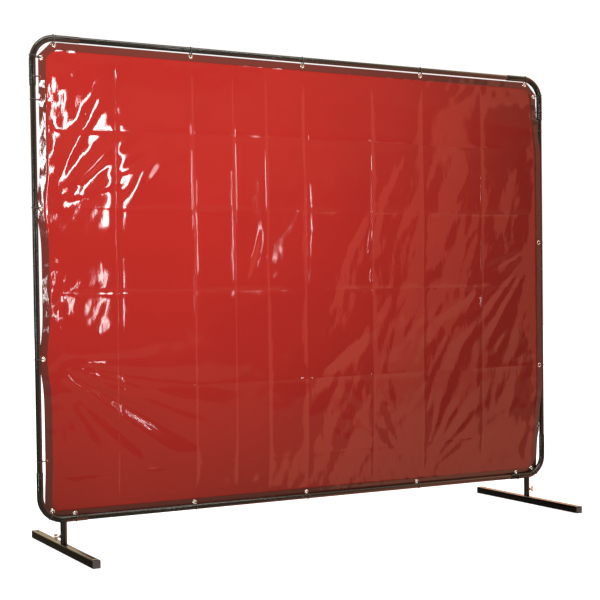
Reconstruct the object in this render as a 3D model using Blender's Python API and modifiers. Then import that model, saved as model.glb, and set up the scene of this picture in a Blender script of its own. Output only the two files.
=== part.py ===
"""Welding curtain screen: a knock-down tube frame on two swivelling T-feet, with a curtain tied in it.

Frame: +Z up, X across the screen, Y from front (-Y) to back. The origin is on the floor under the middle.
"""
import math

import bmesh
import bpy
from mathutils import Matrix, Vector
from mathutils.geometry import convex_hull_2d

# Overall sizes, in metres
FRAME_WIDTH = 2.420         # over the outside of the corner elbows
FRAME_HEIGHT = 1.844        # from the underside of the bottom rail's elbows to the top of the upper ones
GROUND_CLEARANCE = 0.114    # floor to the underside of the bottom elbows
FOOT_LENGTH = 0.730         # over both end caps

# Tube stock
TUBE_DIAMETER = 0.0222
TUBE_WALL = 0.0012
SOCKET_CLEARANCE = 0.0003   # play between a tube and the socket round it, at the radius
SOCKET_WALL = 0.0013
TUBE_SIDES = 16
BEND_STEPS = 8

# Corner elbows
ELBOW_REACH = 0.195         # outside of the corner to the mouth of each leg
BEND_RADIUS = 0.089         # of the elbow's centre line
SOCKET_DEPTH = 0.045        # how far a straight tube enters a leg

# Posts, their nuts and wing bolts
POST_INSET = 0.102          # outside of the frame to the post's axis
POST_FOOT_GAP = 0.0008      # running gap over the foot
WING_BOLT_HEIGHT = 0.061    # bolt axis over the floor
BOLT_RADIUS = 0.003
BOLT_CLEARANCE = 0.0002
NUT_ACROSS_FLATS = 0.010
NUT_THICKNESS = 0.005
WING_GAP = 0.003            # nut to the head of the bolt
WING_HEAD_LENGTH = 0.013
WING_HEAD_RADIUS = 0.005
WING_HEAD_TOP = 0.70        # radii of the head's outline, as shares of its widest
WING_HEAD_SHOULDER = 0.88
WING_HEAD_FOOT = 0.90
WING_HEAD_ROUND = 0.0015    # height of its rounded ends
WING_SPAN = 0.026
WING_ROOT = 0.0016          # bolt's axis to the inner edge of a wing
WING_CENTRE = 0.62          # a wing's middle and half its height, as shares of the head's length
WING_HALF = 0.56
WING_THICKNESS = 0.0024
BOLT_POINT_LENGTH = 0.0008  # of the bolt's chamfered end
BOLT_POINT = 0.7            # radius of its face, as a share of the shank's

# Feet
FOOT_SIDE = 0.030
FOOT_WALL = 0.0015
FOOT_EDGE_RADIUS = 0.0025
STUB_HEIGHT = 0.065         # spigot over the foot
CAP_THICKNESS = 0.003
CAP_EDGE = 0.001            # bevel of the cap's face
CAP_PLUG_DEPTH = 0.014
ANCHOR_HOLE_RADIUS = 0.0045
ANCHOR_HOLE_INSET = 0.038   # foot's end to the hole

# Curtain
SHEET_THICKNESS = 0.0008
SIDE_GAP = 0.0096           # inner side of the elbows to the curtain's edge
TOP_GAP = 0.0031
BOTTOM_GAP = 0.0013         # middle of the bottom rail to the curtain's lower edge, behind it
BEND_GAP = 0.0016           # inner side of an upper bend to the curtain's cut corner
BOTTOM_CORNER_CUT = 0.037
LEFT_SLACK = 0.0045         # how far the left edge falls in below its upper corner
LEFT_PULL = 0.0150          # how far an eyelet draws the left edge out
LEFT_PULL_SPREAD = 0.090
RIGHT_PULL = 0.0145         # how far the right edge laps over its upright
LAP_GAP = 0.0023            # tubes' surface to the curtain's middle surface, where it laps them
BOTTOM_LAP_REACH = 0.25
SIDE_LAP_REACH = 0.45
PULL_FADE = (0.04, 0.25)    # distances in from a side edge between which its slack and pull fade
GRID_SPACING = 0.16

# Pairs of heights between which the curtain's sides change, under the frame's top where they are negative
LEFT_SLACK_START = (0.05, 0.20)     # over the curtain's lower edge
LEFT_SIDE_END = (-0.34, -0.14)
RIGHT_PULL_START = (0.30, 0.42)     # over the frame's underside
RIGHT_PULL_END = (-0.36, -0.24)
RIGHT_LAP_START = (0.16, 0.30)      # over the frame's underside
RIGHT_LAP_END = (-0.24, -0.12)

# Eyelets and ties
EYELET_INSET = 0.014        # curtain's edge to an eyelet's centre
EYELET_HOLE_RADIUS = 0.0055
EYELET_RADIUS = 0.0095
EYELET_LIP = 0.001
EYELET_EDGE = 0.0003        # roundings of the rolled ring
EYELET_SHOULDER = 0.0006
EYELET_SIDES = 12
EYELET_SEAT = 0.015         # half the level square round an eyelet
SEAT_MARGIN = 0.002
EYELET_HOLE_REACH = 0.01    # of the shape that cuts the hole, either way from the sheet
TIE_WIDTH = 0.0036
TIE_THICKNESS = 0.0012
TIE_HEAD = (0.0056, 0.0040, 0.0046)   # along the strap, out from it, across it
TIE_SLACK = 0.0004
TIE_INNER_RADIUS = 0.0022
TIE_SIDES = 12

GAP = 0.0003                # between pieces that touch
WELD_DISTANCE = 0.00001     # vertices nearer than this are one
SHARP_ANGLE = math.radians(35)

# Where the eyelets sit along each edge, as shares of that edge's length
TOP_EYELETS = (0.265, 0.480, 0.730)
LEFT_EYELETS = (0.328, 0.664)
RIGHT_EYELETS = (0.392, 0.724)
BOTTOM_EYELETS = (0.263, 0.481, 0.717)
BOTTOM_END_EYELET = 0.118   # curtain's side edge to the last eyelet of the bottom row

# Worked out from the sizes above
TUBE_RADIUS = TUBE_DIAMETER / 2
SOCKET_BORE = TUBE_RADIUS + SOCKET_CLEARANCE
ELBOW_RADIUS = SOCKET_BORE + SOCKET_WALL
AXIS_X = FRAME_WIDTH / 2 - ELBOW_RADIUS
AXIS_LOW = GROUND_CLEARANCE + ELBOW_RADIUS
AXIS_HIGH = GROUND_CLEARANCE + FRAME_HEIGHT - ELBOW_RADIUS
LEG_LENGTH = ELBOW_REACH - ELBOW_RADIUS
POST_X = FRAME_WIDTH / 2 - POST_INSET
CURTAIN_SIDE = AXIS_X - ELBOW_RADIUS - SIDE_GAP
CURTAIN_LOW = AXIS_LOW + BOTTOM_GAP
CURTAIN_HIGH = AXIS_HIGH - ELBOW_RADIUS - TOP_GAP
BEND_CORE = BEND_RADIUS - ELBOW_RADIUS      # radius of the inner side of a bend
CUT_REACH = math.sqrt((BEND_CORE - BEND_GAP) ** 2 - (BEND_CORE - TOP_GAP) ** 2)
TOP_CORNER_CUT = BEND_CORE - SIDE_GAP - CUT_REACH
LAP_DEPTH = ELBOW_RADIUS + LAP_GAP
FRAME_TOP = GROUND_CLEARANCE + FRAME_HEIGHT


# ---------------------------------------------------------------- scene and materials

for old in list(bpy.data.objects):
    bpy.data.objects.remove(old)

parts = bpy.data.collections.new("welding_curtain_screen")
cutters = bpy.data.collections.new("cutters")
for collection in (parts, cutters):
    bpy.context.scene.collection.children.link(collection)


def material(name, colour, roughness, metallic=0.0, alpha=1.0):
    made = bpy.data.materials.new(name)
    made.use_nodes = True
    shader = made.node_tree.nodes["Principled BSDF"]
    shader.inputs["Base Color"].default_value = (*colour, 1.0)
    shader.inputs["Roughness"].default_value = roughness
    shader.inputs["Metallic"].default_value = metallic
    shader.inputs["Alpha"].default_value = alpha
    return made


BLACK_PAINT = material("black_paint", (0.014, 0.014, 0.013), 0.32)
ZINC = material("zinc_plate", (0.62, 0.62, 0.60), 0.30, metallic=1.0)
NICKEL = material("nickel_plate", (0.80, 0.79, 0.76), 0.22, metallic=1.0)
BLACK_PLASTIC = material("black_plastic", (0.022, 0.022, 0.022), 0.45)
RED_PVC = material("red_pvc", (0.50, 0.035, 0.025), 0.18, alpha=0.85)


def keep(name, mesh, finish, smooth=True):
    """Makes the mesh a sub-part of the screen."""
    obj = bpy.data.objects.new(name, mesh)
    parts.objects.link(obj)
    mesh.materials.append(finish)
    if smooth:
        mesh.shade_smooth()
        mesh.set_sharp_from_angle(angle=SHARP_ANGLE)
    return obj


def operand(name, mesh):
    """Makes the mesh a hidden shape that a Boolean uses."""
    obj = bpy.data.objects.new(name, mesh)
    cutters.objects.link(obj)
    obj.hide_render = True
    obj.display_type = "WIRE"
    return obj


def boolean(obj, other, operation="DIFFERENCE"):
    modifier = obj.modifiers.new(f"{operation.lower()}_{other.name}", "BOOLEAN")
    modifier.object = other
    modifier.operation = operation


def hollow(obj, wall):
    """Gives an open surface whose faces point outwards a wall on its inner side."""
    modifier = obj.modifiers.new("wall", "SOLIDIFY")
    modifier.thickness = wall
    modifier.offset = -1


def mesh_of(build):
    """Fills a new mesh with the geometry that a function makes."""
    shape = bmesh.new()
    build(shape)
    mesh = bpy.data.meshes.new("mesh")
    shape.to_mesh(mesh)
    shape.free()
    return mesh


def mesh_of_curve(curve):
    """The mesh of a curve, with its caps welded on."""
    holder = bpy.data.objects.new("curve", curve)
    bpy.context.scene.collection.objects.link(holder)
    seen = holder.evaluated_get(bpy.context.evaluated_depsgraph_get())
    mesh = bpy.data.meshes.new_from_object(seen)
    bpy.data.objects.remove(holder)
    shape = bmesh.new()
    shape.from_mesh(mesh)
    bmesh.ops.remove_doubles(shape, verts=shape.verts, dist=WELD_DISTANCE)
    shape.to_mesh(mesh)
    shape.free()
    return mesh


def pipe_mesh(points, radius, capped=False):
    """A round pipe's outer surface along the points."""
    curve = bpy.data.curves.new("pipe", "CURVE")
    curve.dimensions = "3D"
    curve.bevel_depth = radius
    curve.bevel_resolution = TUBE_SIDES // 2 - 2
    curve.use_fill_caps = capped
    spline = curve.splines.new("POLY")
    spline.points.add(len(points) - 1)
    for point, place in zip(spline.points, points):
        point.co = (*place, 1.0)
    return mesh_of_curve(curve)


def rod(shape, start, end, radius, sides):
    """A solid cylinder, or a prism with few sides, between two places."""
    start, end = Vector(start), Vector(end)
    along = end - start
    turn = along.to_track_quat("Z", "Y").to_matrix().to_4x4()
    bmesh.ops.create_cone(shape, cap_ends=True, segments=sides, radius1=radius, radius2=radius,
                          depth=along.length, matrix=Matrix.Translation((start + end) / 2) @ turn)


def ease(low, high, value):
    """0 below low, 1 above high, and a smooth slope between."""
    share = min(max((value - low) / (high - low), 0.0), 1.0)
    return share * share * (3 - 2 * share)


# ---------------------------------------------------------------- tube frame

def elbow_path(side, level):
    """Centre line of the elbow at side -1 or 1 and level -1 or 1, from its upright leg to its rail leg."""
    corner = Vector((side * AXIS_X, 0, AXIS_HIGH if level > 0 else AXIS_LOW))
    centre = corner - Vector((side * BEND_RADIUS, 0, level * BEND_RADIUS))
    path = [corner - Vector((0, 0, level * LEG_LENGTH))]
    for step in range(BEND_STEPS + 1):
        turn = math.radians(90) * step / BEND_STEPS
        path.append(centre + BEND_RADIUS * Vector((side * math.cos(turn), 0, level * math.sin(turn))))
    path.append(corner - Vector((side * LEG_LENGTH, 0, 0)))
    return path


def tube(name, start, end, radius=TUBE_RADIUS, wall=TUBE_WALL):
    obj = keep(name, pipe_mesh([start, end], radius), BLACK_PAINT)
    hollow(obj, wall)
    return obj


for side, side_name in ((-1, "left"), (1, "right")):
    for level, level_name in ((1, "top"), (-1, "bottom")):
        bent = pipe_mesh(elbow_path(side, level), ELBOW_RADIUS)
        elbow = keep(f"elbow_{level_name}_{side_name}", bent, BLACK_PAINT)
        hollow(elbow, SOCKET_WALL)
    tube(f"upright_{side_name}",
         (side * AXIS_X, 0, AXIS_LOW + LEG_LENGTH - SOCKET_DEPTH),
         (side * AXIS_X, 0, AXIS_HIGH - LEG_LENGTH + SOCKET_DEPTH))

RAIL_REACH = AXIS_X - LEG_LENGTH + SOCKET_DEPTH
tube("rail_top", (-RAIL_REACH, 0, AXIS_HIGH), (RAIL_REACH, 0, AXIS_HIGH))
tube("rail_bottom", (-RAIL_REACH, 0, AXIS_LOW), (RAIL_REACH, 0, AXIS_LOW))


# ---------------------------------------------------------------- posts, nuts and wing bolts

NUT_INNER = ELBOW_RADIUS + GAP
HEAD_START = NUT_INNER + NUT_THICKNESS + WING_GAP
HEAD_END = HEAD_START + WING_HEAD_LENGTH
BOLT_TIP = TUBE_RADIUS + GAP


def turned(name, outline, sides, finish, closed=False):
    """A solid turned from (radius, height) points that run down its outer side, as a closed ring if asked."""
    def build(shape):
        made = [shape.verts.new((radius, 0, height)) for radius, height in outline]
        pairs = list(zip(made, made[1:]))
        if closed:
            pairs.append((made[-1], made[0]))
        for first, second in pairs:
            shape.edges.new((first, second))
    obj = keep(name, mesh_of(build), finish, smooth=False)
    screw = obj.modifiers.new("turn", "SCREW")
    screw.steps = sides
    screw.render_steps = sides
    screw.use_merge_vertices = True
    screw.merge_threshold = WELD_DISTANCE
    screw.use_smooth_shade = True
    return obj


def wing_bolt(side, name):
    """A turned shank and hub with two flat wings, standing out from the post along X."""
    hub = [
        (0.0, HEAD_END),
        (WING_HEAD_RADIUS * WING_HEAD_TOP, HEAD_END),
        (WING_HEAD_RADIUS * WING_HEAD_SHOULDER, HEAD_END - WING_HEAD_ROUND),
        (WING_HEAD_RADIUS, HEAD_START + WING_HEAD_ROUND),
        (WING_HEAD_RADIUS * WING_HEAD_FOOT, HEAD_START),
        (BOLT_RADIUS, HEAD_START),
        (BOLT_RADIUS, BOLT_TIP + BOLT_POINT_LENGTH),
        (BOLT_RADIUS * BOLT_POINT, BOLT_TIP),
        (0.0, BOLT_TIP),
    ]
    bolt = turned(f"wing_bolt_{name}", hub, 16, ZINC)

    def wings(shape):
        wing_radius = (WING_SPAN / 2 - WING_ROOT) / 2
        for way in (-1, 1):
            lobe = bmesh.ops.create_cone(shape, cap_ends=True, segments=16, radius1=1, radius2=1, depth=1)
            wing_level = HEAD_START + WING_HEAD_LENGTH * WING_CENTRE
            place = Vector((way * (WING_SPAN / 2 - wing_radius), 0, wing_level))
            size = Matrix.Diagonal((wing_radius, WING_HEAD_LENGTH * WING_HALF, WING_THICKNESS, 1))
            stand = Matrix.Rotation(math.radians(90), 4, "X")
            bmesh.ops.transform(shape, verts=lobe["verts"], matrix=Matrix.Translation(place) @ stand @ size)

    pair = operand(f"wings_{name}", mesh_of(wings))
    boolean(bolt, pair, "UNION")
    turn = Vector((side, 0, 0)).to_track_quat("Z", "Y")
    spin = Matrix.Rotation(math.radians(90 if side < 0 else 0), 4, "Z")
    place = Matrix.Translation((side * POST_X, 0, WING_BOLT_HEIGHT)) @ turn.to_matrix().to_4x4() @ spin
    for obj in (bolt, pair):
        obj.matrix_world = place


def post(side, name):
    """The short tube under a bottom elbow: saddle-cut on top, with a hole for the bolt in its outer side."""
    x = side * POST_X
    obj = tube(f"post_{name}", (x, 0, FOOT_SIDE + POST_FOOT_GAP), (x, 0, AXIS_LOW), ELBOW_RADIUS, SOCKET_WALL)
    saddle = operand(f"saddle_{name}", pipe_mesh(elbow_path(side, -1), ELBOW_RADIUS + GAP, capped=True))
    boolean(obj, saddle)
    bore = BOLT_RADIUS + BOLT_CLEARANCE
    hole = operand(f"bolt_hole_{name}", mesh_of(lambda shape: rod(
        shape, (x, 0, WING_BOLT_HEIGHT), (x + side * 3 * ELBOW_RADIUS, 0, WING_BOLT_HEIGHT), bore, 16)))
    boolean(obj, hole)
    nut = keep(f"weld_nut_{name}", mesh_of(lambda shape: rod(
        shape, (x + side * NUT_INNER, 0, WING_BOLT_HEIGHT),
        (x + side * (NUT_INNER + NUT_THICKNESS), 0, WING_BOLT_HEIGHT),
        NUT_ACROSS_FLATS / math.sqrt(3), 6)), BLACK_PAINT, smooth=False)
    boolean(nut, hole)


for side, side_name in ((-1, "left"), (1, "right")):
    post(side, side_name)
    wing_bolt(side, side_name)


# ---------------------------------------------------------------- feet

CAP_FACE = FOOT_LENGTH / 2 - CAP_THICKNESS


def long_box(shape, width, length, height, centre):
    size = Matrix.Diagonal((width, length, height, 1))
    bmesh.ops.create_cube(shape, size=1, matrix=Matrix.Translation(centre) @ size)


def round_long_edges(shape, radius):
    """Rounds the four edges that run along Y."""
    edges = [edge for edge in shape.edges
             if abs((edge.verts[0].co - edge.verts[1].co).normalized().y) > 0.99]
    bmesh.ops.bevel(shape, geom=edges, offset=radius, segments=3, profile=0.5, affect="EDGES")


def foot(side, name):
    x = side * POST_X
    middle = FOOT_SIDE / 2
    length = 2 * (CAP_FACE - GAP)

    def shell(shape):
        long_box(shape, FOOT_SIDE, length, FOOT_SIDE, (0, 0, middle))
        ends = [face for face in shape.faces if abs(face.normal.y) > 0.9]
        bmesh.ops.delete(shape, geom=ends, context="FACES_ONLY")
        round_long_edges(shape, FOOT_EDGE_RADIUS)

    def anchor_holes(shape):
        for way in (-1, 1):
            y = way * (FOOT_LENGTH / 2 - ANCHOR_HOLE_INSET)
            rod(shape, (0, y, -FOOT_SIDE), (0, y, 2 * FOOT_SIDE), ANCHOR_HOLE_RADIUS, 16)

    bar = keep(f"foot_{name}", mesh_of(shell), BLACK_PAINT)
    bar.location.x = x
    hollow(bar, FOOT_WALL)
    cut = operand(f"anchor_holes_{name}", mesh_of(anchor_holes))
    cut.location.x = x
    boolean(bar, cut)
    tube(f"stub_{name}", (x, 0, FOOT_SIDE + GAP), (x, 0, FOOT_SIDE + STUB_HEIGHT))

    for way, end_name in ((-1, "front"), (1, "rear")):
        def cap(shape, way=way):
            y = way * (CAP_FACE + CAP_THICKNESS / 2)
            long_box(shape, FOOT_SIDE, CAP_THICKNESS, FOOT_SIDE, (0, y, middle))
            round_long_edges(shape, FOOT_EDGE_RADIUS)
            outer = max(shape.faces, key=lambda face: way * face.calc_center_median().y)
            bmesh.ops.bevel(shape, geom=list(outer.edges), offset=CAP_EDGE, segments=2, profile=0.5,
                            affect="EDGES")
            inner = min(shape.faces, key=lambda face: way * face.calc_center_median().y)
            bmesh.ops.inset_region(shape, faces=[inner], thickness=FOOT_WALL + GAP)
            grown = bmesh.ops.extrude_face_region(shape, geom=[inner])
            moved = [item for item in grown["geom"] if isinstance(item, bmesh.types.BMVert)]
            bmesh.ops.delete(shape, geom=[inner], context="FACES_ONLY")
            bmesh.ops.translate(shape, verts=moved, vec=(0, -way * CAP_PLUG_DEPTH, 0))
            bmesh.ops.recalc_face_normals(shape, faces=shape.faces)
        plug = keep(f"foot_cap_{name}_{end_name}", mesh_of(cap), BLACK_PLASTIC)
        plug.location.x = x


for side, side_name in ((-1, "left"), (1, "right")):
    foot(side, side_name)


# ---------------------------------------------------------------- curtain

def height_on(share):
    """The height at a share of the curtain's side edge, counted down from its upper cut corner."""
    high = CURTAIN_HIGH - TOP_CORNER_CUT - EYELET_INSET
    low = CURTAIN_LOW + BOTTOM_CORNER_CUT
    return high + (low - high) * share


def place_on(share):
    """The place across the curtain at a share of its top or bottom edge, from the left."""
    return -CURTAIN_SIDE + 2 * CURTAIN_SIDE * share


def left_edge(z):
    pulls = (math.exp(-((z - height_on(share)) / LEFT_PULL_SPREAD) ** 2) for share in LEFT_EYELETS)
    slack = ease(*LEFT_SLACK_START, z - CURTAIN_LOW) * (1 - ease(*LEFT_SIDE_END, z - FRAME_TOP))
    return -CURTAIN_SIDE + LEFT_SLACK * slack - LEFT_PULL * sum(pulls)


def right_edge(z):
    pull = ease(*RIGHT_PULL_START, z - GROUND_CLEARANCE) * (1 - ease(*RIGHT_PULL_END, z - FRAME_TOP))
    return CURTAIN_SIDE + RIGHT_PULL * pull


def lap(x, z):
    """How far the curtain's middle surface stands behind (+) or before (-) the frame's plane."""
    low = 1 - ease(0, BOTTOM_LAP_REACH, z - CURTAIN_LOW)
    left = (1 - ease(0, SIDE_LAP_REACH, x + CURTAIN_SIDE)) * (1 - ease(*LEFT_SIDE_END, z - FRAME_TOP))
    right = 1 - ease(0, SIDE_LAP_REACH, CURTAIN_SIDE - x)
    right *= ease(*RIGHT_LAP_START, z - GROUND_CLEARANCE) * (1 - ease(*RIGHT_LAP_END, z - FRAME_TOP))
    behind = 1 - (1 - low) * (1 - left)
    return LAP_DEPTH * (behind - right)


def eyelet_places():
    """Centres of the eyelets in the curtain's plane, by edge."""
    diagonal = EYELET_INSET * math.sqrt(0.5)
    top_z = CURTAIN_HIGH - diagonal
    corner_z = CURTAIN_HIGH - TOP_CORNER_CUT - diagonal
    corner_x = CURTAIN_SIDE - diagonal
    row_x = CURTAIN_SIDE - TOP_CORNER_CUT - diagonal
    low_z = CURTAIN_LOW + EYELET_INSET
    low_corner = BOTTOM_CORNER_CUT / 2 + diagonal
    top = [(-row_x, top_z)] + [(place_on(share), top_z) for share in TOP_EYELETS] + [(row_x, top_z)]
    left = [(-corner_x, corner_z)] + [(left_edge(height_on(share)) + EYELET_INSET, height_on(share))
                                      for share in LEFT_EYELETS]
    right = [(corner_x, corner_z)]
    right += [(right_edge(height_on(share)) - EYELET_INSET, height_on(share)) for share in RIGHT_EYELETS]
    corner = (CURTAIN_SIDE - low_corner, CURTAIN_LOW + low_corner)
    end = CURTAIN_SIDE - BOTTOM_END_EYELET
    bottom = [(-corner[0], corner[1]), (-end, low_z)] + [(place_on(share), low_z) for share in BOTTOM_EYELETS]
    bottom += [(end, low_z), corner]
    return {"top": top, "left": left, "right": right, "bottom": bottom}


EYELETS = eyelet_places()


def grid_lines(low, high, spots):
    """Places for grid lines from low to high: one on each side of every spot, and more in long stretches."""
    marks = {low, high}
    for spot in spots:
        marks.update((spot - EYELET_SEAT, spot + EYELET_SEAT))
    marks = sorted(mark for mark in marks if low <= mark <= high)
    lines = [marks[0]]
    for mark in marks[1:]:
        steps = math.ceil((mark - lines[-1]) / GRID_SPACING)
        start = lines[-1]
        lines += [start + (mark - start) * step / steps for step in range(1, steps + 1)]
    return lines


def depth(x, z):
    """The curtain's depth, level where an eyelet clasps it."""
    reach = EYELET_SEAT + SEAT_MARGIN
    for places in EYELETS.values():
        for spot_x, spot_z in places:
            if abs(x - spot_x) < reach and abs(z - spot_z) < reach:
                return lap(spot_x, spot_z)
    return lap(x, z)


def curtain():
    """A thin sheet with cut corners and eyelet holes, its sides drawn out and bent to lap the tubes."""
    spots = [place for places in EYELETS.values() for place in places]
    columns = grid_lines(-CURTAIN_SIDE, CURTAIN_SIDE,
                         [math.copysign(min(abs(x), CURTAIN_SIDE - EYELET_INSET), x) for x, _ in spots])
    rows = grid_lines(CURTAIN_LOW, CURTAIN_HIGH, [z for _, z in spots])

    def sheet(shape):
        bmesh.ops.create_grid(shape, x_segments=len(columns) - 1, y_segments=len(rows) - 1, size=1)
        for vertex in shape.verts:
            column = round((vertex.co.x + 1) / 2 * (len(columns) - 1))
            row = round((vertex.co.y + 1) / 2 * (len(rows) - 1))
            vertex.co = (columns[column], 0, rows[row])
        for side in (-1, 1):
            for level, cut in ((1, TOP_CORNER_CUT), (-1, BOTTOM_CORNER_CUT)):
                edge_z = CURTAIN_HIGH if level > 0 else CURTAIN_LOW
                everything = shape.verts[:] + shape.edges[:] + shape.faces[:]
                bmesh.ops.bisect_plane(shape, geom=everything, dist=WELD_DISTANCE,
                                       plane_co=(side * (CURTAIN_SIDE - cut), 0, edge_z),
                                       plane_no=(side, 0, level), clear_outer=True)
        for vertex in shape.verts:
            x, z = vertex.co.x, vertex.co.z
            drawn_left = (left_edge(z) + CURTAIN_SIDE) * (1 - ease(*PULL_FADE, CURTAIN_SIDE + x))
            drawn_right = (right_edge(z) - CURTAIN_SIDE) * (1 - ease(*PULL_FADE, CURTAIN_SIDE - x))
            vertex.co.x += drawn_left + drawn_right
            vertex.co.y = depth(vertex.co.x, z)

    def holes(shape):
        for x, z in spots:
            y = lap(x, z)
            rod(shape, (x, y - EYELET_HOLE_REACH, z), (x, y + EYELET_HOLE_REACH, z),
                EYELET_HOLE_RADIUS + EYELET_LIP + GAP, EYELET_SIDES)

    obj = keep("curtain", mesh_of(sheet), RED_PVC, smooth=False)
    hollow(obj, SHEET_THICKNESS)
    obj.modifiers["wall"].offset = 0
    boolean(obj, operand("eyelet_holes", mesh_of(holes)))


curtain()


# ---------------------------------------------------------------- eyelets

def eyelet(name, x, z):
    """A rolled metal ring that clasps the curtain's edge round a hole."""
    inner = SHEET_THICKNESS / 2 + GAP
    outer = inner + EYELET_LIP
    section = [
        (EYELET_HOLE_RADIUS + EYELET_SHOULDER, outer),
        (EYELET_RADIUS, inner + EYELET_EDGE),
        (EYELET_HOLE_RADIUS + EYELET_LIP, inner),
        (EYELET_HOLE_RADIUS + EYELET_LIP, -inner),
        (EYELET_RADIUS, -inner - EYELET_EDGE),
        (EYELET_HOLE_RADIUS + EYELET_SHOULDER, -outer),
        (EYELET_HOLE_RADIUS, -outer + EYELET_EDGE),
        (EYELET_HOLE_RADIUS, outer - EYELET_EDGE),
    ]
    ring = turned(name, section, EYELET_SIDES, NICKEL, closed=True)
    ring.location = (x, lap(x, z), z)
    ring.rotation_euler.x = math.radians(90)


for edge_name, edge_places in EYELETS.items():
    for number, (edge_x, edge_z) in enumerate(edge_places, 1):
        eyelet(f"eyelet_{edge_name}_{number}", edge_x, edge_z)


# ---------------------------------------------------------------- cable ties

def nearest_tube(x, z):
    """The point of the tubes' axes nearest to a place, the way from it to that place, and the radius there."""
    core_x = AXIS_X - BEND_RADIUS
    core_low = AXIS_LOW + BEND_RADIUS
    core_high = AXIS_HIGH - BEND_RADIUS
    place = Vector((x, 0, z))
    core = Vector((min(max(x, -core_x), core_x), 0, min(max(z, core_low), core_high)))
    out = (place - core).normalized()
    on_axis = core + BEND_RADIUS * out
    on_rail = abs(on_axis.x) < AXIS_X - LEG_LENGTH
    on_upright = AXIS_LOW + LEG_LENGTH < on_axis.z < AXIS_HIGH - LEG_LENGTH
    return on_axis, -out, TUBE_RADIUS if on_rail or on_upright else ELBOW_RADIUS


def taut_loop(circles):
    """The line of a strap pulled tight round circles, each given as (place, depth, radius)."""
    points = []
    for place, depth, radius in circles:
        for step in range(TIE_SIDES):
            turn = 2 * math.pi * (step + 0.5) / TIE_SIDES
            points.append((place + radius * math.cos(turn), depth + radius * math.sin(turn)))
    return [points[index] for index in convex_hull_2d(points)]


def cable_tie(name, x, z):
    """A strap drawn round the tube, over the curtain's hem and through the eyelet, with its square head."""
    axis_point, across, radius = nearest_tube(x, z)
    depth = lap(x, z)
    reach = (Vector((x, 0, z)) - axis_point).dot(across)
    along = across.cross(Vector((0, 1, 0)))
    loop = taut_loop([
        (0, 0, (radius + TIE_SLACK) / math.cos(math.pi / TIE_SIDES)),
        (reach - EYELET_INSET, depth, SHEET_THICKNESS / 2 + EYELET_LIP + 2 * GAP),
        (reach, depth, TIE_INNER_RADIUS),
    ])

    def placed(point, shift):
        return axis_point + across * point[0] + Vector((0, point[1], 0)) + along * shift

    def strap(shape):
        near = [shape.verts.new(placed(point, -TIE_WIDTH / 2)) for point in loop]
        far = [shape.verts.new(placed(point, TIE_WIDTH / 2)) for point in loop]
        for step in range(len(loop)):
            shape.faces.new((near[step - 1], near[step], far[step], far[step - 1]))

    def head(shape):
        # The loop runs anticlockwise, so the stretches before the tube are those that lead away from it.
        sides = [(loop[step - 1], loop[step]) for step in range(len(loop))]
        before = [pair for pair in sides if pair[1][0] > pair[0][0]]
        first, second = (placed(point, 0) for point in max(before, key=lambda pair: math.dist(*pair)))
        way = (second - first).normalized()
        out = way.cross(along)
        out = -out if out.y > 0 else out
        centre = (first + second) / 2 + out * (TIE_THICKNESS + TIE_HEAD[1]) / 2
        turn = Matrix((way, out, way.cross(out))).transposed().to_4x4()
        size = Matrix.Diagonal((*TIE_HEAD, 1))
        bmesh.ops.create_cube(shape, size=1, matrix=Matrix.Translation(centre) @ turn @ size)

    obj = keep(name, mesh_of(strap), BLACK_PLASTIC, smooth=False)
    hollow(obj, TIE_THICKNESS)
    obj.modifiers["wall"].offset = 1
    boolean(obj, operand(f"head_of_{name}", mesh_of(head)), "UNION")


for edge_name, edge_places in EYELETS.items():
    for number, (edge_x, edge_z) in enumerate(edge_places, 1):
        cable_tie(f"cable_tie_{edge_name}_{number}", edge_x, edge_z)
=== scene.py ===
import math

import bmesh
import bpy
from mathutils import Matrix, Vector, noise
from mathutils.geometry import convex_hull_2d


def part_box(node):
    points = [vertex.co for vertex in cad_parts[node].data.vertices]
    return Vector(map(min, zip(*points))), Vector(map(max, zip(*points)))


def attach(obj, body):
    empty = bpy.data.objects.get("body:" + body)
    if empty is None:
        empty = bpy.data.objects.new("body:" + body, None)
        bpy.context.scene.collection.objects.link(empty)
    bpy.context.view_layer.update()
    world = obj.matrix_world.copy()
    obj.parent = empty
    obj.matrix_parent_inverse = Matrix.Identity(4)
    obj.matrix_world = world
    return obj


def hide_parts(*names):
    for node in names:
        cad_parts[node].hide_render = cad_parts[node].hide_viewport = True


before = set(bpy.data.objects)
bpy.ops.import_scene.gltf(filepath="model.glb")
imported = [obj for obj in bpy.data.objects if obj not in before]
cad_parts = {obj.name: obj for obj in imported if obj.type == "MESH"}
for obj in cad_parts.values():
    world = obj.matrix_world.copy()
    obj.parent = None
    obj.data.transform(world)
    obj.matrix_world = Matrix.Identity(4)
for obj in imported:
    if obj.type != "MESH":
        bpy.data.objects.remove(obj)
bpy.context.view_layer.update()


# ---------------------------------------------------------------- camera, floor and light
# The screen stands on a wide pale floor that runs out into white. A soft spot in front lights it,
# and a weak box lights it from behind. Narrow strips and a dim room are there only to be mirrored
# in the glossy sheet and the paint.

TURN = math.radians(28.55)
TILT = math.radians(-1.58)
ROLL = math.radians(-0.74)

bpy.ops.object.camera_add(location=(-2.670, -4.772, 0.946))
camera = bpy.context.object
camera.name = "camera"
camera.data.lens = 78.2
camera.data.shift_y = 0.0607
aim = Matrix.Rotation(-TURN, 4, "Z") @ Matrix.Rotation(math.radians(90) + TILT, 4, "X")
camera.rotation_euler = (aim @ Matrix.Rotation(ROLL, 4, "Z")).to_euler()
bpy.context.scene.camera = camera

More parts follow.
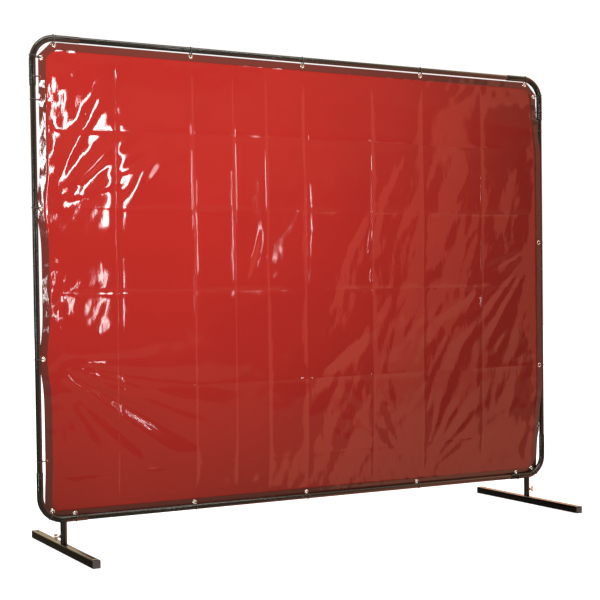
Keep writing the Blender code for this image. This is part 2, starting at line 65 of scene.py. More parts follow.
bpy.ops.mesh.primitive_plane_add(size=60)
floor = bpy.context.object
floor.name = "floor"
floor_paint = bpy.data.materials.new("pale_floor")
floor_paint.use_nodes = True
floor_shader = floor_paint.node_tree.nodes["Principled BSDF"]
floor_shader.inputs["Base Color"].default_value = (0.93, 0.93, 0.93, 1)
floor_shader.inputs["Roughness"].default_value = 0.85
floor_shader.inputs["Specular IOR Level"].default_value = 0.1
floor_shader.inputs["Emission Color"].default_value = (1, 1, 1, 1)
floor_shader.inputs["Emission Strength"].default_value = 0.62
floor.visible_glossy = False
floor.data.materials.append(floor_paint)


def turned_to(light, target):
    light.rotation_euler = (Vector(target) - light.location).to_track_quat("-Z", "Y").to_euler()


def softbox(name, place, target, width, height, power, mirrored_only=False):
    """A rectangular light, turned to its target, that lights the set or is only mirrored in it."""
    bpy.ops.object.light_add(type="AREA", location=place)
    light = bpy.context.object
    light.name = name
    light.data.shape = "RECTANGLE"
    light.data.size = width
    light.data.size_y = height
    light.data.energy = power
    light.visible_diffuse = not mirrored_only
    light.visible_camera = False
    turned_to(light, target)


def glint(name, x, low, high, width, power):
    """An upright strip light, placed so that a flat sheet would mirror it at x, from low to high."""
    mirror_depth = 3.0
    throw = (mirror_depth - camera.location.y) / -camera.location.y
    where = camera.location.x + throw * (x - camera.location.x)
    bottom, top = (camera.location.z + throw * (level - camera.location.z) for level in (low, high))
    middle = (bottom + top) / 2
    softbox(name, (where, -mirror_depth, middle), (where, 0, middle), width, top - bottom, power,
            mirrored_only=True)


bpy.ops.object.light_add(type="SPOT", location=(-0.95, -5.0, 2.25))
key = bpy.context.object
key.name = "key"
key.data.energy = 3080
key.data.spot_size = math.radians(46.5)
key.data.spot_blend = 1.0
key.data.shadow_soft_size = 0.45
key.visible_glossy = False
turned_to(key, (-0.79, 0, 1.88))

softbox("back", (0.5, 4.5, 4.0), (0, 0, 0.6), 3.0, 2.0, 60)
softbox("overhead", (-0.5, -1.5, 4.5), (0, 0, 1.9), 5.0, 0.4, 95, mirrored_only=True)
softbox("left_side", (-4.5, -1.5, 1.3), (-1.2, 0, 1.1), 0.25, 2.4, 50, mirrored_only=True)
glint("window_high", -1.13, 1.26, 1.64, 0.11, 9)
glint("window_low", -1.15, 0.89, 1.04, 0.03, 0.9)
glint("gap_middle", -0.235, 1.05, 1.52, 0.014, 2.6)

world = bpy.data.worlds.new("studio")
world.use_nodes = True
bpy.context.scene.world = world
nodes = world.node_tree.nodes
links = world.node_tree.links
way = nodes.new("ShaderNodeTexCoord")
axes = nodes.new("ShaderNodeSeparateXYZ")
links.new(way.outputs["Generated"], axes.inputs["Vector"])


def slope_of(value, start, end, low, high):
    """A world node that turns a direction's value into a brightness, from low at start to high at end."""
    made = nodes.new("ShaderNodeMapRange")
    made.interpolation_type = "SMOOTHSTEP"
    made.inputs["From Min"].default_value = start
    made.inputs["From Max"].default_value = end
    made.inputs["To Min"].default_value = low
    made.inputs["To Max"].default_value = high
    links.new(value, made.inputs["Value"])
    return made.outputs["Result"]


def sum_of(first, second, factor=1.0):
    """A world node that adds the second value, times a factor, to the first."""
    made = nodes.new("ShaderNodeMath")
    made.operation = "MULTIPLY_ADD"
    made.inputs[1].default_value = factor
    links.new(second, made.inputs[0])
    links.new(first, made.inputs[2])
    return made.outputs["Value"]


# What the coatings mirror: a dim room in front, a lighter wall at its right, ceiling and floor, and
# a pale backdrop.
sky = nodes["Background"]
links.new(slope_of(axes.outputs["Z"], -0.25, 0.45, 0.10, 0.98), sky.inputs["Color"])
room = nodes.new("ShaderNodeBackground")
red_wall = slope_of(sum_of(axes.outputs["X"], axes.outputs["Z"], -0.27), 0.536, 0.548, 0.0, 0.85)
side_wall = slope_of(sum_of(axes.outputs["X"], axes.outputs["Z"], -0.27), 0.536, 0.548, 0.18, 0.56)
ceiling = slope_of(axes.outputs["Z"], 0.06, 0.20, 0.0, 0.16)
ground = slope_of(axes.outputs["Z"], -0.082, -0.056, 0.22, 0.0)
behind = slope_of(sum_of(axes.outputs["Y"], axes.outputs["Z"], 3.0), 0.75, 1.05, 0.0, 0.85)
under = slope_of(axes.outputs["Y"], 0.0, 0.2, 0.0, -0.34)
warm = nodes.new("ShaderNodeMix")
warm.data_type = "RGBA"
warm.clamp_factor = False
warm.inputs["A"].default_value = (0, 0, 0, 1)
warm.inputs["B"].default_value = (1.25, 0.96, 0.60, 1)
links.new(sum_of(sum_of(side_wall, ceiling), sum_of(sum_of(ground, behind), under)), warm.inputs["Factor"])
reddened = nodes.new("ShaderNodeVectorMath")
reddened.operation = "MULTIPLY_ADD"
reddened.inputs[1].default_value = (1, 0, 0)
links.new(red_wall, reddened.inputs[0])
links.new(warm.outputs["Result"], reddened.inputs[2])
links.new(reddened.outputs["Vector"], room.inputs["Color"])
backdrop = nodes.new("ShaderNodeBackground")
backdrop.inputs["Color"].default_value = (1, 1, 1, 1)
backdrop.inputs["Strength"].default_value = 1.05
seen = nodes.new("ShaderNodeLightPath")
mirrored = nodes.new("ShaderNodeMixShader")
links.new(seen.outputs["Is Glossy Ray"], mirrored.inputs["Fac"])
links.new(sky.outputs["Background"], mirrored.inputs[1])
links.new(room.outputs["Background"], mirrored.inputs[2])
either = nodes.new("ShaderNodeMixShader")
links.new(seen.outputs["Is Camera Ray"], either.inputs["Fac"])
links.new(mirrored.outputs["Shader"], either.inputs[1])
links.new(backdrop.outputs["Background"], either.inputs[2])
links.new(either.outputs["Shader"], nodes["World Output"].inputs["Surface"])
bpy.context.scene.view_settings.view_transform = "Standard"


# ---------------------------------------------------------------- tube frame
# Four bent corner elbows are sockets of one-inch tube, and the thinner straight tubes push into
# them. All are mild steel with a thin coat of black paint that shows a slight orange peel.

def unevenness_group():
    """Slow patches, a fine grain and a height for a coated surface, all from its own coordinates."""
    group = bpy.data.node_groups.new("unevenness", "ShaderNodeTree")
    for socket, low in (("Patch Scale", 1.0), ("Grain Scale", 100.0)):
        made = group.interface.new_socket(socket, in_out="INPUT", socket_type="NodeSocketFloat")
        made.default_value = low
    for socket in ("Patches", "Grain"):
        group.interface.new_socket(socket, in_out="OUTPUT", socket_type="NodeSocketFloat")
    inputs = group.nodes.new("NodeGroupInput")
    outputs = group.nodes.new("NodeGroupOutput")
    place = group.nodes.new("ShaderNodeTexCoord")
    for scale, out, detail in (("Patch Scale", "Patches", 3), ("Grain Scale", "Grain", 2)):
        texture = group.nodes.new("ShaderNodeTexNoise")
        texture.inputs["Detail"].default_value = detail
        group.links.new(place.outputs["Object"], texture.inputs["Vector"])
        group.links.new(inputs.outputs[scale], texture.inputs["Scale"])
        group.links.new(texture.outputs["Fac"], outputs.inputs[out])
    return group


UNEVENNESS = unevenness_group()


def coated(name, dark, light, roughness, patch_scale, grain_scale, bump, metallic=0.0):
    """A coated surface: colour between two tones, roughness between two values, and a fine raised grain."""
    made = bpy.data.materials.new(name)
    made.use_nodes = True
    tree = made.node_tree
    shader = tree.nodes["Principled BSDF"]
    shader.inputs["Metallic"].default_value = metallic
    uneven = tree.nodes.new("ShaderNodeGroup")
    uneven.node_tree = UNEVENNESS
    uneven.inputs["Patch Scale"].default_value = patch_scale
    uneven.inputs["Grain Scale"].default_value = grain_scale
    tone = tree.nodes.new("ShaderNodeMix")
    tone.data_type = "RGBA"
    tone.inputs["A"].default_value = (*dark, 1)
    tone.inputs["B"].default_value = (*light, 1)
    tree.links.new(uneven.outputs["Patches"], tone.inputs["Factor"])
    tree.links.new(tone.outputs["Result"], shader.inputs["Base Color"])
    span = tree.nodes.new("ShaderNodeMapRange")
    span.inputs["From Min"].default_value = 0.3
    span.inputs["From Max"].default_value = 0.7
    span.inputs["To Min"].default_value = roughness[0]
    span.inputs["To Max"].default_value = roughness[1]
    tree.links.new(uneven.outputs["Patches"], span.inputs["Value"])
    tree.links.new(span.outputs["Result"], shader.inputs["Roughness"])
    raised = tree.nodes.new("ShaderNodeBump")
    raised.inputs["Strength"].default_value = 0.35
    raised.inputs["Distance"].default_value = bump
    tree.links.new(uneven.outputs["Grain"], raised.inputs["Height"])
    tree.links.new(raised.outputs["Normal"], shader.inputs["Normal"])
    return made


BLACK_PAINT = coated("black_paint", (0.0018, 0.0018, 0.0018), (0.0034, 0.0033, 0.0033), (0.13, 0.22),
                     9, 420, 0.0002)


def bare(obj):
    """Selects only this object and makes it the active one."""
    bpy.ops.object.select_all(action="DESELECT")
    obj.select_set(True)
    bpy.context.view_layer.objects.active = obj
    return obj


def smooth(obj, angle=35):
    bare(obj)
    bpy.ops.object.shade_smooth_by_angle(angle=math.radians(angle))


def apply_all(obj):
    bare(obj)
    for modifier in list(obj.modifiers):
        bpy.ops.object.modifier_apply(modifier=modifier.name)


def edge_round(obj, width, segments=2, angle=40):
    modifier = obj.modifiers.new("edges", "BEVEL")
    modifier.width = width
    modifier.segments = segments
    modifier.limit_method = "ANGLE"
    modifier.angle_limit = math.radians(angle)
    modifier.harden_normals = False


def place_piece(obj, name, material, body, slot, *cad_nodes):
    """Names a finished piece, settles its place into its mesh, gives it its material, ties it to its body and
    hides the solids it stands for.
    """
    bare(obj)
    bpy.ops.object.transform_apply(location=True, rotation=True, scale=True)
    obj.name = name
    obj.data.materials.clear()
    obj.data.materials.append(material)
    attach(obj, body)
    if cad_nodes:
        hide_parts(*cad_nodes)
    return obj


def drawn_tube(path, radius, wall=None, resolution=20):
    """A round tube along a path, with a wall and softened mouths, or a solid bar where no wall is given."""
    curve = bpy.data.curves.new("tube", "CURVE")
    curve.dimensions = "3D"
    curve.bevel_depth = radius
    curve.bevel_resolution = resolution
    curve.use_fill_caps = wall is None
    spline = curve.splines.new("POLY")
    spline.points.add(len(path) - 1)
    for point, place in zip(spline.points, path):
        point.co = (*place, 1)
    obj = bpy.data.objects.new("tube", curve)
    bpy.context.scene.collection.objects.link(obj)
    bare(obj)
    bpy.ops.object.convert(target="MESH")
    obj = bpy.context.object
    bpy.ops.object.mode_set(mode="EDIT")
    bpy.ops.mesh.select_all(action="SELECT")
    bpy.ops.mesh.remove_doubles(threshold=0.00001)
    bpy.ops.object.mode_set(mode="OBJECT")
    if wall is not None:
        shell = obj.modifiers.new("wall", "SOLIDIFY")
        shell.thickness = wall
        shell.offset = -1
        edge_round(obj, 0.0003)
        apply_all(obj)
    smooth(obj)
    return obj


SOCKET_WALL = 0.0013
TUBE_WALL = 0.0012
BEND_RADIUS = 0.089
low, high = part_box("elbow_top_left")
SOCKET_RADIUS = (high.y - low.y) / 2
LEG = high.x - low.x - SOCKET_RADIUS
AXIS_X = -low.x - SOCKET_RADIUS
AXIS_HIGH = high.z - SOCKET_RADIUS
AXIS_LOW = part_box("elbow_bottom_left")[0].z + SOCKET_RADIUS
SIDES = ((-1, "left"), (1, "right"))


def elbow_path(side, level):
    """Centre line of a corner elbow, from the mouth of its upright leg to the mouth of its rail leg."""
    corner = Vector((side * AXIS_X, 0, AXIS_HIGH if level > 0 else AXIS_LOW))
    centre = corner - BEND_RADIUS * Vector((side, 0, level))
    path = [corner - Vector((0, 0, level * LEG))]
    steps = 28
    for step in range(steps + 1):
        turn = math.radians(90) * step / steps
        path.append(centre + BEND_RADIUS * Vector((side * math.cos(turn), 0, level * math.sin(turn))))
    path.append(corner - Vector((side * LEG, 0, 0)))
    return path


for side, side_name in SIDES:
    for level, level_name in ((1, "top"), (-1, "bottom")):
        node = f"elbow_{level_name}_{side_name}"
        elbow = drawn_tube(elbow_path(side, level), SOCKET_RADIUS, SOCKET_WALL)
        place_piece(elbow, f"{level_name}_{side_name}_elbow", BLACK_PAINT, "frame", "black_paint", node)

for node in ("upright_left", "upright_right", "rail_top", "rail_bottom"):
    low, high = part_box(node)
    middle = (low + high) / 2
    size = high - low
    half = Vector((0, 0, size.z / 2)) if size.z > size.x else Vector((size.x / 2, 0, 0))
    straight = drawn_tube([middle - half, middle + half], size.y / 2, TUBE_WALL)
    place_piece(straight, f"straight_{node}", BLACK_PAINT, "frame", "black_paint", node)
TUBE_RADIUS = size.y / 2


# ---------------------------------------------------------------- posts
# A short length of the socket tube is coped to the underside of each lower elbow and welded on.
# A hex nut is welded over a hole in its outer side, for the wing bolt that pinches the foot's spigot.

BOLT_HOLE_RADIUS = 0.0032
COPE_PLAY = 0.0002
POST_WELD = 0.0016          # half the thickness of the bead under an elbow
NUT_WELD = 0.0009
NUT_WELD_RING = 0.0058      # radius of the bead's line round a nut


def bead(points, radius, name):
    """A weld bead laid along closed points: a thick line whose width pulses as the puddle did."""
    curve = bpy.data.curves.new(name, "CURVE")
    curve.dimensions = "3D"
    curve.bevel_depth = radius
    curve.bevel_resolution = 4
    spline = curve.splines.new("POLY")
    spline.points.add(len(points) - 1)
    spline.use_cyclic_u = True
    for number, (point, place) in enumerate(zip(spline.points, points)):
        point.co = (*place, 1)
        point.radius = 1 + 0.16 * math.cos(number * 2 * math.pi / 4)
    obj = bpy.data.objects.new(name, curve)
    bpy.context.scene.collection.objects.link(obj)
    bare(obj)
    bpy.ops.object.convert(target="MESH")
    obj = bpy.context.object
    smooth(obj, 70)
    return place_piece(obj, name, BLACK_PAINT, "frame", "black_paint")


def underside(x, y):
    """Height of the lower elbows' underside over a point, on the straight leg or round the bend."""
    rise = math.sqrt(max(SOCKET_RADIUS ** 2 - y ** 2, 0))
    past = abs(x) - (AXIS_X - BEND_RADIUS)
    if past <= 0:
        return AXIS_LOW - rise
    return AXIS_LOW + BEND_RADIUS - math.sqrt((BEND_RADIUS + rise) ** 2 - past ** 2)


for side, side_name in SIDES:
    low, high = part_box(f"post_{side_name}")
    x = (low.x + high.x) / 2
    post = drawn_tube([(x, 0, low.z), (x, 0, AXIS_LOW)], SOCKET_RADIUS, SOCKET_WALL)
    cope = drawn_tube(elbow_path(side, -1), SOCKET_RADIUS + COPE_PLAY, resolution=14)
    bolt_low, bolt_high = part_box(f"weld_nut_{side_name}")
    bolt_z = (bolt_low.z + bolt_high.z) / 2
    bpy.ops.mesh.primitive_cylinder_add(vertices=32, radius=BOLT_HOLE_RADIUS, depth=4 * SOCKET_RADIUS,
                                        location=(x + side * 2 * SOCKET_RADIUS, 0, bolt_z),
                                        rotation=(0, math.radians(90), 0))
    drill = bpy.context.object
    for cutter in (cope, drill):
        cut = post.modifiers.new("cut", "BOOLEAN")
        cut.object = cutter
    apply_all(post)
    for cutter in (cope, drill):
        bpy.data.objects.remove(cutter)
    smooth(post)
    place_piece(post, f"{side_name}_post", BLACK_PAINT, "frame", "black_paint", f"post_{side_name}")
    count = 72
    ring = []
    for step in range(count):
        turn = 2 * math.pi * step / count
        px, py = x + SOCKET_RADIUS * math.cos(turn), SOCKET_RADIUS * math.sin(turn)
        ring.append((px, py, underside(px, py)))
    bead(ring, POST_WELD, f"{side_name}_post_weld")

    middle = (bolt_low + bolt_high) / 2
    bpy.ops.mesh.primitive_cylinder_add(vertices=6, radius=(bolt_high.z - bolt_low.z) / 2,
                                        depth=bolt_high.x - bolt_low.x, location=middle,
                                        rotation=(0, math.radians(90), 0))
    nut = bpy.context.object
    bpy.ops.mesh.primitive_cylinder_add(vertices=32, radius=BOLT_HOLE_RADIUS, depth=0.02, location=middle,
                                        rotation=(0, math.radians(90), 0))
    drill = bpy.context.object
    cut = nut.modifiers.new("cut", "BOOLEAN")
    cut.object = drill
    edge_round(nut, 0.0004, 3)
    apply_all(nut)
    bpy.data.objects.remove(drill)
    smooth(nut)
    place_piece(nut, f"{side_name}_post_nut", BLACK_PAINT, "frame", "black_paint", f"weld_nut_{side_name}")
    nut_x = middle.x - side * (bolt_high.x - bolt_low.x) / 2
    count = 48
    ring = [(nut_x, NUT_WELD_RING * math.cos(2 * math.pi * step / count),
             middle.z + NUT_WELD_RING * math.sin(2 * math.pi * step / count)) for step in range(count)]
    bead(ring, NUT_WELD, f"{side_name}_nut_weld")


# ---------------------------------------------------------------- wing bolts
# Bright zinc-plated M6 wing bolts, cast in one piece with two rounded ears, a tapered hub and a
# thread, drawn as rings. Each screws through its nut and stops against the spigot inside the post.

ZINC = coated("zinc_plate", (0.50, 0.49, 0.47), (0.72, 0.72, 0.73), (0.20, 0.38), 60, 900, 0.0002,
              metallic=1.0)
THREAD_PITCH = 0.001
THREAD_DEPTH = 0.0005
BOLT_RADIUS = 0.003
HUB_RADIUS = 0.005
HEAD_LENGTH = 0.013
EAR_THICKNESS = 0.0024
EAR_ROOT = 0.0016           # bolt's axis to the inner edge of an ear
EAR_CENTRE = 0.62           # an ear's middle and half its height, as shares of the head's length
EAR_HALF = 0.56


def turned(outline, sides):
    """A solid turned round Z from (radius, height) points that run down its outer side."""
    bpy.ops.mesh.primitive_circle_add(vertices=3, radius=0.001)
    obj = bpy.context.object
    shape = bmesh.new()
    made = [shape.verts.new((radius, 0, height)) for radius, height in outline]
    for first, second in zip(made, made[1:]):
        shape.edges.new((first, second))
    shape.to_mesh(obj.data)
    shape.free()
    screw = obj.modifiers.new("turn", "SCREW")
    screw.steps = sides
    screw.render_steps = sides
    screw.use_merge_vertices = True
    screw.merge_threshold = 0.00001
    apply_all(obj)
    return obj


for side, side_name in SIDES:
    low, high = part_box(f"wing_bolt_{side_name}")
    upright_wings = high.z - low.z > high.y - low.y
    span = max(high.z - low.z, high.y - low.y)
    length = high.x - low.x
    head = length - HEAD_LENGTH
    outline = [(0, length), (HUB_RADIUS * 0.55, length), (HUB_RADIUS * 0.80, length - 0.0012)]
    outline += [(HUB_RADIUS * 0.90, length - 0.005), (HUB_RADIUS, head + 0.002)]
    outline += [(HUB_RADIUS * 0.92, head + 0.0004), (HUB_RADIUS * 0.80, head), (BOLT_RADIUS, head)]
    turns = int(head / THREAD_PITCH) - 1
    for turn in range(turns):
        crest = head - (turn + 0.5) * THREAD_PITCH
        outline += [(BOLT_RADIUS, crest + 0.12 * THREAD_PITCH), (BOLT_RADIUS, crest - 0.12 * THREAD_PITCH)]
        outline += [(BOLT_RADIUS - THREAD_DEPTH, crest - 0.5 * THREAD_PITCH)]
    outline += [(BOLT_RADIUS - THREAD_DEPTH, 0.0006), (BOLT_RADIUS * 0.6, 0), (0, 0)]
    bolt = turned(outline, 40)
    ear_radius = (span / 2 - EAR_ROOT) / 2
    ear_height = head + HEAD_LENGTH * EAR_CENTRE
    for way in (-1, 1):
        bpy.ops.mesh.primitive_cylinder_add(vertices=40, radius=1, depth=1,
                                            location=(way * (span / 2 - ear_radius), 0, ear_height),
                                            rotation=(math.radians(90), 0, 0))
        ear = bpy.context.object
        ear.scale = (ear_radius, HEAD_LENGTH * EAR_HALF, EAR_THICKNESS)
        bpy.ops.object.transform_apply(location=True, rotation=True, scale=True)
        edge_round(ear, 0.0007, 3)
        apply_all(ear)
        join = bolt.modifiers.new("ear", "BOOLEAN")
        join.operation = "UNION"
        join.object = ear
        apply_all(bolt)
        bpy.data.objects.remove(ear)
    smooth(bolt, 50)
    spin = Matrix.Rotation(math.radians(90 if (side < 0) == upright_wings else 0), 4, "Z")
    start = Vector((high.x if side < 0 else low.x, 0, (low.z + high.z) / 2))
    outward = Vector((side, 0, 0)).to_track_quat("Z", "Y").to_matrix().to_4x4()
    bolt.matrix_world = Matrix.Translation(start) @ outward @ spin
    body = f"{side_name}_wing_bolt"
    place_piece(bolt, f"{side_name}_wing_bolt", ZINC, body, "zinc_plate", f"wing_bolt_{side_name}")


# ---------------------------------------------------------------- feet
# Square steel tube laid on the floor, drilled near both ends for floor bolts, with a spigot of the
# thinner tube welded upright on its middle. Moulded plugs close the ends.

MOULDED_BLACK = coated("moulded_black", (0.030, 0.029, 0.029), (0.050, 0.048, 0.048), (0.42, 0.56),
                       40, 700, 0.0003)
FOOT_WALL = 0.0015
CORNER_ROUND = 0.0025
PLUG_DEPTH = 0.014
PLUG_PLAY = 0.0003
PLUG_WALL = 0.0015
PLATE = 0.003
ANCHOR_INSET = 0.038
ANCHOR_RADIUS = 0.0045


def long_edges_round(radius, segments):
    """In edit mode: rounds the four edges of a box that run along Y."""
    bpy.ops.mesh.select_all(action="DESELECT")
    bpy.ops.object.mode_set(mode="OBJECT")
    mesh = bpy.context.object.data
    for edge in mesh.edges:
        run = mesh.vertices[edge.vertices[0]].co - mesh.vertices[edge.vertices[1]].co
        edge.select = abs(run.normalized().y) > 0.99
    bpy.ops.object.mode_set(mode="EDIT")
    bpy.ops.mesh.bevel(offset=radius, segments=segments, affect="EDGES")


for side, side_name in SIDES:
    low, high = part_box(f"foot_{side_name}")
    middle, size = (low + high) / 2, high - low
    bpy.ops.object.select_all(action="DESELECT")
    bpy.ops.mesh.primitive_cube_add(size=1, location=middle, scale=size)
    bar = bpy.context.object
    bpy.ops.object.transform_apply(location=False, rotation=False, scale=True)
    bpy.ops.object.mode_set(mode="EDIT")
    long_edges_round(CORNER_ROUND, 6)
    bpy.ops.mesh.select_all(action="DESELECT")
    bpy.ops.object.mode_set(mode="OBJECT")
    for face in bar.data.polygons:
        face.select = abs(face.normal.y) > 0.9
    bpy.ops.object.mode_set(mode="EDIT")
    bpy.ops.mesh.delete(type="FACE")
    bpy.ops.object.mode_set(mode="OBJECT")
    shell = bar.modifiers.new("wall", "SOLIDIFY")
    shell.thickness = FOOT_WALL
    shell.offset = -1
    drills = []
    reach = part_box(f"foot_cap_{side_name}_rear")[1].y
    for way in (-1, 1):
        bpy.ops.mesh.primitive_cylinder_add(vertices=40, radius=ANCHOR_RADIUS, depth=3 * size.z,
                                            location=(middle.x, way * (reach - ANCHOR_INSET), middle.z))
        drills.append(bpy.context.object)
        cut = bar.modifiers.new("drill", "BOOLEAN")
        cut.object = drills[-1]
    edge_round(bar, 0.00025, 2)
    apply_all(bar)
    for drill in drills:
        bpy.data.objects.remove(drill)
    smooth(bar)
    body = f"{side_name}_foot"
    place_piece(bar, f"{side_name}_foot_bar", BLACK_PAINT, body, "black_paint", f"foot_{side_name}")

    stub_low, stub_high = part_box(f"stub_{side_name}")
    x = middle.x
    spigot = drawn_tube([(x, 0, stub_low.z), (x, 0, stub_high.z)], TUBE_RADIUS, TUBE_WALL)
    place_piece(spigot, f"{side_name}_spigot", BLACK_PAINT, body, "black_paint", f"stub_{side_name}")

    for way, end_name in ((-1, "front"), (1, "rear")):
        node = f"foot_cap_{side_name}_{end_name}"
        low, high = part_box(node)
        outer_y = low.y if way < 0 else high.y
        bpy.ops.mesh.primitive_cube_add(size=1, location=(x, outer_y - way * PLATE / 2, middle.z),
                                        scale=(size.x, PLATE, size.z))
        plug = bpy.context.object
        bpy.ops.object.transform_apply(location=True, rotation=False, scale=True)
        bpy.ops.object.mode_set(mode="EDIT")
        long_edges_round(CORNER_ROUND, 6)
        bpy.ops.mesh.select_all(action="DESELECT")
        bpy.ops.object.mode_set(mode="OBJECT")
        for face in plug.data.polygons:
            face.select = face.normal.y * way < -0.9
        bpy.ops.object.mode_set(mode="EDIT")
        bpy.ops.mesh.inset(thickness=FOOT_WALL + PLUG_PLAY)
        bpy.ops.mesh.extrude_region_move(TRANSFORM_OT_translate={"value": (0, -way * PLUG_DEPTH, 0)})
        bpy.ops.mesh.inset(thickness=PLUG_WALL)
        bpy.ops.mesh.extrude_region_move(TRANSFORM_OT_translate={"value": (0, way * (PLUG_DEPTH - 0.001), 0)})
        bpy.ops.object.mode_set(mode="OBJECT")
        edge_round(plug, 0.0006, 3, 60)
        apply_all(plug)
        smooth(plug)
        place_piece(plug, f"{side_name}_{end_name}_foot_plug", MOULDED_BLACK, body, "black_plastic", node)


# ---------------------------------------------------------------- curtain
# One sheet of soft red PVC, cut off at its corners, with a doubled and welded hem all round. It was
# folded flat for shipping, and its ties only draw it taut at the eyelets, so fold lines, shallow
# dents and fans of wrinkles remain.

low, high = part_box("curtain")
EYELET_SPOTS = {name: (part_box(name)[0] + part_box(name)[1]) / 2
                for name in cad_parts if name.startswith("eyelet_")}
CURTAIN_LOW = low.z
CURTAIN_HIGH = high.z
CURTAIN_SIDE = 1.175
FRAME_TOP = AXIS_HIGH + SOCKET_RADIUS
FRAME_LOW = AXIS_LOW - SOCKET_RADIUS
TOP_CORNER_CUT = 0.052
BOTTOM_CORNER_CUT = 0.037
HEM_WIDTH = 0.030
FILM = 0.0005
HEM_THICKNESS = 0.0012
LEFT_SLACK = 0.0045
LEFT_PULL = 0.0150
PULL_SPREAD = 0.090
RIGHT_PULL = 0.0145
LAP_DEPTH = 0.015
SIDE_LAP_REACH = 0.45
BOTTOM_LAP_REACH = 0.25
PULL_FADE = (0.04, 0.25)        # distances in from a side between which its slack and pull fade
LEFT_SLACK_START = (CURTAIN_LOW + 0.05, CURTAIN_LOW + 0.20)
LEFT_SIDE_END = (FRAME_TOP - 0.34, FRAME_TOP - 0.14)
RIGHT_PULL_START = (FRAME_LOW + 0.30, FRAME_LOW + 0.42)
RIGHT_PULL_END = (FRAME_TOP - 0.36, FRAME_TOP - 0.24)
RIGHT_LAP_START = (FRAME_LOW + 0.16, FRAME_LOW + 0.30)
RIGHT_LAP_END = (FRAME_TOP - 0.24, FRAME_TOP - 0.12)
COLUMN_SPACING = 0.0122         # of the grid's lines, and of the closer ones beside a fold
ROW_SPACING = 0.0120
FOLD_SPACING = 0.0032
HEM_STEP = 0.0008               # half the distance over which the hem's doubling ends
HEM_CLEAR = 0.003
PUNCH_RADIUS = 0.0066
PUNCH_DEPTH = 0.012
SLIM_HOLE_RADIUS = 0.0024
SLIM_TIE_HEIGHTS = (1.798, 1.711, 0.351)
SLIM_TIE_INSET = 0.008
SLIM_TIE_WIDTH = 0.0026
SLIM_TIE_SLACK = 0.0004
PUCKERS = (     # x, z, lean, half the length, half the width, height
    (-0.752, 1.45, math.radians(58), 0.105, 0.030, 0.0048),
    (-0.940, 1.50, math.radians(52), 0.070, 0.020, 0.0030),
    (-1.010, 1.42, math.radians(50), 0.090, 0.018, 0.0028),
    (-0.300, 1.12, math.radians(72), 0.090, 0.016, 0.0036),
    (0.290, 1.22, math.radians(76), 0.100, 0.014, 0.0036),
    (0.120, 0.72, math.radians(40), 0.220, 0.045, 0.0050),
)
FOLD_COLUMNS = (-0.872, -0.551, -0.363, -0.224, -0.036, 0.283, 0.551, 0.860)
FOLD_ROWS = ((1.608, 0.014), (1.311, 0.014), (0.985, 0.011), (0.604, 0.031), (0.280, 0.045))


def ease(start, end, value):
    share = min(max((value - start) / (end - start), 0.0), 1.0)
    return share * share * (3 - 2 * share)


def left_edge(z):
    pulls = sum(math.exp(-((z - EYELET_SPOTS[name].z) / PULL_SPREAD) ** 2)
                for name in ("eyelet_left_2", "eyelet_left_3"))
    slack = ease(*LEFT_SLACK_START, z) * (1 - ease(*LEFT_SIDE_END, z))
    return -CURTAIN_SIDE + LEFT_SLACK * slack - LEFT_PULL * pulls


def right_edge(z):
    rising = ease(*RIGHT_PULL_START, z)
    return CURTAIN_SIDE + RIGHT_PULL * rising * (1 - ease(*RIGHT_PULL_END, z))


def lap(x, z):
    """How far the sheet stands behind (+) or before (-) the plane of the tubes."""
    bottom = 1 - ease(0, BOTTOM_LAP_REACH, z - CURTAIN_LOW)
    left = (1 - ease(0, SIDE_LAP_REACH, x + CURTAIN_SIDE)) * (1 - ease(*LEFT_SIDE_END, z))
    right = 1 - ease(0, SIDE_LAP_REACH, CURTAIN_SIDE - x)
    right *= ease(*RIGHT_LAP_START, z) * (1 - ease(*RIGHT_LAP_END, z))
    return LAP_DEPTH * (1 - (1 - bottom) * (1 - left) - right)


def crease(distance, width):
    """A folded line's profile: a narrow ridge on a low broad one."""
    return 0.88 * math.exp(-abs(distance) / width) + 0.12 * math.exp(-(distance / (5 * width)) ** 2)


def leaning(x, z, along, across, seed):
    """Smooth noise drawn out along a steep lean to the right."""
    down, over = z * 0.92 + x * 0.39, x * 0.92 - z * 0.39
    return noise.noise(Vector((down * along, seed, over * across)))


def ridges(x, z, along, across, seed):
    """Thin crumple lines with a lean: 0 over most of the sheet, up to 1 along them."""
    bent = 0.25 * leaning(x, z, along, along, seed)
    return (1 - abs(leaning(x + bent / across, z, along, across, seed + 2))) ** 9


def fan(x, z, spot, seed, reach, height, up):
    """Wrinkles that spread inwards from a pulled eyelet, above (1) or below (-1) its level."""
    over, rise = abs(x - spot.x), (z - spot.z) * up
    distance = math.hypot(over, rise)
    turn = math.atan2(rise, over)
    lobe = ease(-0.15, 0.30, turn) * (1 - ease(1.05, 1.50, turn))
    fade = ease(0.03, 0.14, distance) * (1 - ease(0.35 * reach, reach, distance))
    return height * lobe * fade * noise.noise(Vector((turn * 8.5, seed, distance * 1.6)))


def rise_at(z):
    """How much higher a grid line stands at the right than at the left, as the fold lines climb."""
    stops = [(CURTAIN_HIGH - HEM_WIDTH, 0.0), *FOLD_ROWS, (CURTAIN_LOW + HEM_WIDTH, 0.0)]
    for (upper, upper_rise), (lower, lower_rise) in zip(stops, stops[1:]):
        if lower <= z <= upper:
            return lower_rise + (upper_rise - lower_rise) * (z - lower) / (upper - lower)
    return 0.0


